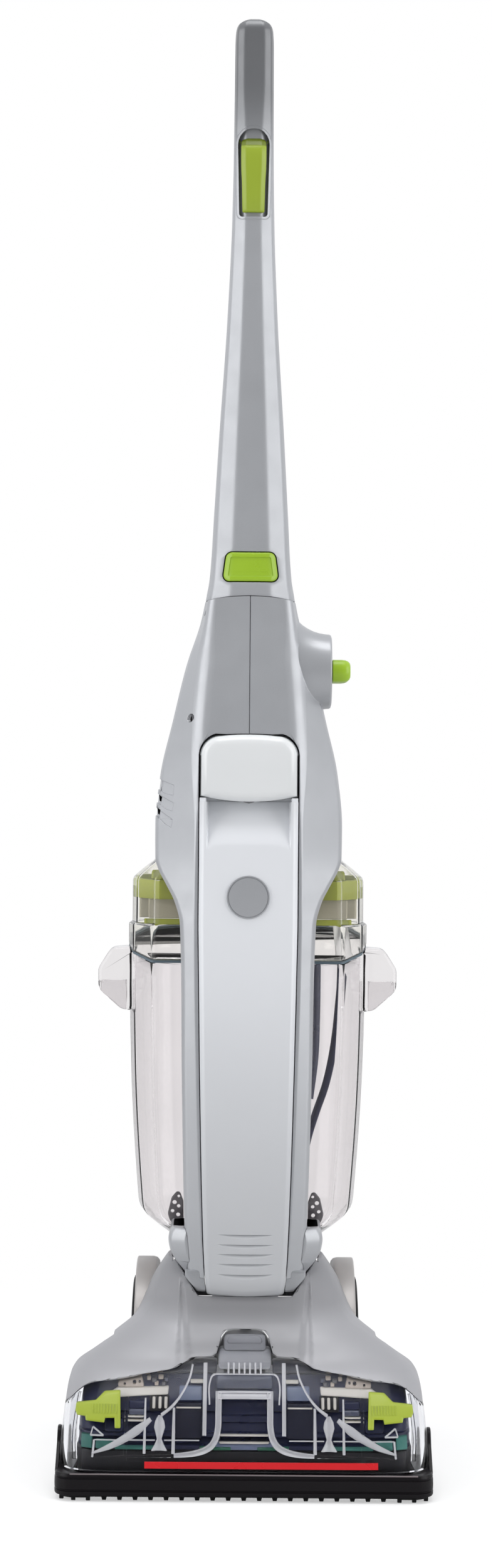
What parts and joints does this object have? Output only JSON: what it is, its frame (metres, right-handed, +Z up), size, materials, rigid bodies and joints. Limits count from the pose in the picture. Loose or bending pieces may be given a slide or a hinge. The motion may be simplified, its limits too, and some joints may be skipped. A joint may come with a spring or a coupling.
{
  "type": "wet dry floor scrubber",
  "caption": "Upright wet dry floor scrubber with reclining body, two lift-out tanks, clear nozzle cover, geared spin brushes, trigger handle and large rear wheels.",
  "frame": {"origin": "on the floor, at the middle of the standing machine's bounding box", "axes": "+Z up along the handle, -Y ahead of the nozzle, +X towards the mode knob's side"},
  "size_m": [0.2866, 0.2776, 1.15],
  "materials": {
    "silver_shell": "satin metallic-look moulding",
    "hood_grey": "satin",
    "dark_grey": "fine texture",
    "white_shell": "semi-gloss",
    "green_trim": "satin",
    "black_plastic": "fine texture",
    "navy_plastic": "gloss",
    "clear_plastic": "clear gloss moulding",
    "rubber": "matt",
    "bristle": "nylon bristle",
    "steel": "plain"
  },
  "bodies": {
    "foot": {"hood": "hood_grey", "inner_panel": "navy_plastic", "chassis": "black_plastic", "bumper": "black_plastic", "front_squeegee": "rubber", "rear_squeegee": "rubber", "brush_carriage": "black_plastic", "brush_motor": "steel", "suction_duct": "navy_plastic", "wheel_axle": "steel", "fender_left": "silver_shell", "fender_right": "silver_shell"},
    "cover": {"nozzle_cover": "clear_plastic"},
    "latch_left": {"cover_latch_left": "green_trim"},
    "latch_right": {"cover_latch_right": "green_trim"},
    "wheel_left": {"wheel_hub_left": "dark_grey", "tyre_left": "rubber"},
    "wheel_right": {"wheel_hub_right": "dark_grey", "tyre_right": "rubber"},
    "pinion": {"drive_pinion": "steel"},
    "upright": {"housing_left": "silver_shell", "housing_right": "silver_shell", "housing_screw_upper": "steel", "housing_screw_lower": "steel", "dial_plate": "dark_grey", "pivot_yoke": "dark_grey", "pivot_hose": "rubber", "suction_motor": "steel", "inlet_seal": "rubber", "solution_valve": "black_plastic", "lower_cord_hook": "dark_grey", "cord_gland": "rubber"},
    "knob": {"mode_knob": "green_trim"},
    "impeller": {"suction_impeller": "steel"},
    "solution": {"solution_tank": "white_shell", "solution_cap": "white_shell", "fill_plug": "dark_grey", "outlet_valve": "rubber", "tank_badge": "silver_shell"},
    "recovery": {"recovery_tank": "clear_plastic", "tank_gasket": "rubber", "tank_lid": "clear_plastic", "float_cage": "green_trim", "standpipe": "navy_plastic", "tank_filter": "green_trim"},
    "float": {"tank_float": "white_shell"},
    "handle": {"handle_front": "silver_shell", "handle_rear": "silver_shell", "trigger_spring": "steel", "button_spring": "steel"},
    "trigger": {"trigger": "green_trim"},
    "rod": {"trigger_rod": "steel"},
    "button": {"release_button": "green_trim"},
    "cord_hook": {"upper_cord_hook": "dark_grey"},
    "brush_1": {"spin_brush_1": "bristle"},
    "brush_2": {"spin_brush_2": "bristle"},
    "brush_3": {"spin_brush_3": "bristle"},
    "brush_4": {"spin_brush_4": "bristle"},
    "brush_5": {"spin_brush_5": "bristle"},
    "brush_6": {"spin_brush_6": "bristle"}
  },
  "joints": [
    {"name": "upright_recline", "type": "hinge", "parent": "foot", "child": "upright", "pos_m": [0, 0.05275, 0.0685], "axis": [-1, 0, 0], "range_deg": [0, 60], "deforming": ["pivot_hose"]},
    {"name": "wheel_left_spin", "type": "hinge", "parent": "foot", "child": "wheel_left", "pos_m": [0, 0.05275, 0.0685], "axis": [1, 0, 0], "continuous": true},
    {"name": "wheel_right_spin", "type": "hinge", "parent": "foot", "child": "wheel_right", "pos_m": [0, 0.05275, 0.0685], "axis": [1, 0, 0], "continuous": true},
    {"name": "cover_removal", "type": "slide", "parent": "foot", "child": "cover", "axis": [0, -1, 0], "range_m": [0, 0.09]},
    {"name": "latch_left_slide", "type": "slide", "parent": "cover", "child": "latch_left", "axis": [-1, 0, 0], "range_m": [0, 0.006]},
    {"name": "latch_right_slide", "type": "slide", "parent": "cover", "child": "latch_right", "axis": [1, 0, 0], "range_m": [0, 0.006]},
    {"name": "pinion_spin", "type": "hinge", "parent": "foot", "child": "pinion", "pos_m": [0.02056, -0.06234, 0], "axis": [0, 0, 1], "continuous": true},
    {"name": "solution_tank_removal", "type": "slide", "parent": "upright", "child": "solution", "axis": [0, -1, 0], "range_m": [0, 0.15]},
    {"name": "recovery_tank_removal", "type": "slide", "parent": "upright", "child": "recovery", "axis": [0, 1, 0], "range_m": [0, 0.15]},
    {"name": "float_rise", "type": "slide", "parent": "recovery", "child": "float", "axis": [0, 0, 1], "range_m": [0, 0.02]},
    {"name": "mode_knob_turn", "type": "hinge", "parent": "upright", "child": "knob", "pos_m": [0, 0.01275, 0.631], "axis": [1, 0, 0], "range_deg": [0, 90]},
    {"name": "impeller_spin", "type": "hinge", "parent": "upright", "child": "impeller", "pos_m": [0, 0.04575, 0], "axis": [0, 0, 1], "continuous": true},
    {"name": "handle_removal", "type": "slide", "parent": "upright", "child": "handle", "axis": [0, 0, 1], "range_m": [0, 0.07]},
    {"name": "trigger_pull", "type": "hinge", "parent": "handle", "child": "trigger", "pos_m": [0, 0.00325, 1.055], "axis": [1, 0, 0], "range_deg": [0, 8], "stiffness_Nm_per_rad": 0.3, "springref_deg": -5.73, "deforming": ["trigger_spring"]},
    {"name": "trigger_rod_lift", "type": "slide", "parent": "handle", "child": "rod", "axis": [0, 0, 1], "range_m": [0, 0.00221]},
    {"name": "release_button_press", "type": "slide", "parent": "handle", "child": "button", "axis": [0, 1, 0], "range_m": [0, 0.004], "stiffness_N_per_m": 250, "springref_m": -0.002, "deforming": ["button_spring"]},
    {"name": "cord_hook_swivel", "type": "hinge", "parent": "handle", "child": "cord_hook", "pos_m": [0, 0.01275, 0.88021], "axis": [0, 1, 0], "range_deg": [0, 180]},
    {"name": "brush_1_spin", "type": "hinge", "parent": "foot", "child": "brush_1", "pos_m": [-0.10279, -0.09318, 0], "axis": [0, 0, 1], "continuous": true},
    {"name": "brush_2_spin", "type": "hinge", "parent": "foot", "child": "brush_2", "pos_m": [-0.06167, -0.09318, 0], "axis": [0, 0, 1], "continuous": true},
    {"name": "brush_3_spin", "type": "hinge", "parent": "foot", "child": "brush_3", "pos_m": [-0.02056, -0.09318, 0], "axis": [0, 0, 1], "continuous": true},
    {"name": "brush_4_spin", "type": "hinge", "parent": "foot", "child": "brush_4", "pos_m": [0.02056, -0.09318, 0], "axis": [0, 0, 1], "continuous": true},
    {"name": "brush_5_spin", "type": "hinge", "parent": "foot", "child": "brush_5", "pos_m": [0.06167, -0.09318, 0], "axis": [0, 0, 1], "continuous": true},
    {"name": "brush_6_spin", "type": "hinge", "parent": "foot", "child": "brush_6", "pos_m": [0.10279, -0.09318, 0], "axis": [0, 0, 1], "continuous": true}
  ],
  "couplings": [
    {"joint": "brush_1_spin", "follows": "brush_4_spin", "ratio": -1},
    {"joint": "brush_2_spin", "follows": "brush_4_spin", "ratio": 1},
    {"joint": "brush_3_spin", "follows": "brush_4_spin", "ratio": -1},
    {"joint": "brush_5_spin", "follows": "brush_4_spin", "ratio": -1},
    {"joint": "brush_6_spin", "follows": "brush_4_spin", "ratio": 1},
    {"joint": "pinion_spin", "follows": "brush_4_spin", "ratio": -2},
    {"joint": "trigger_rod_lift", "follows": "trigger_pull", "m_per_rad": 0.0155}
  ]
}
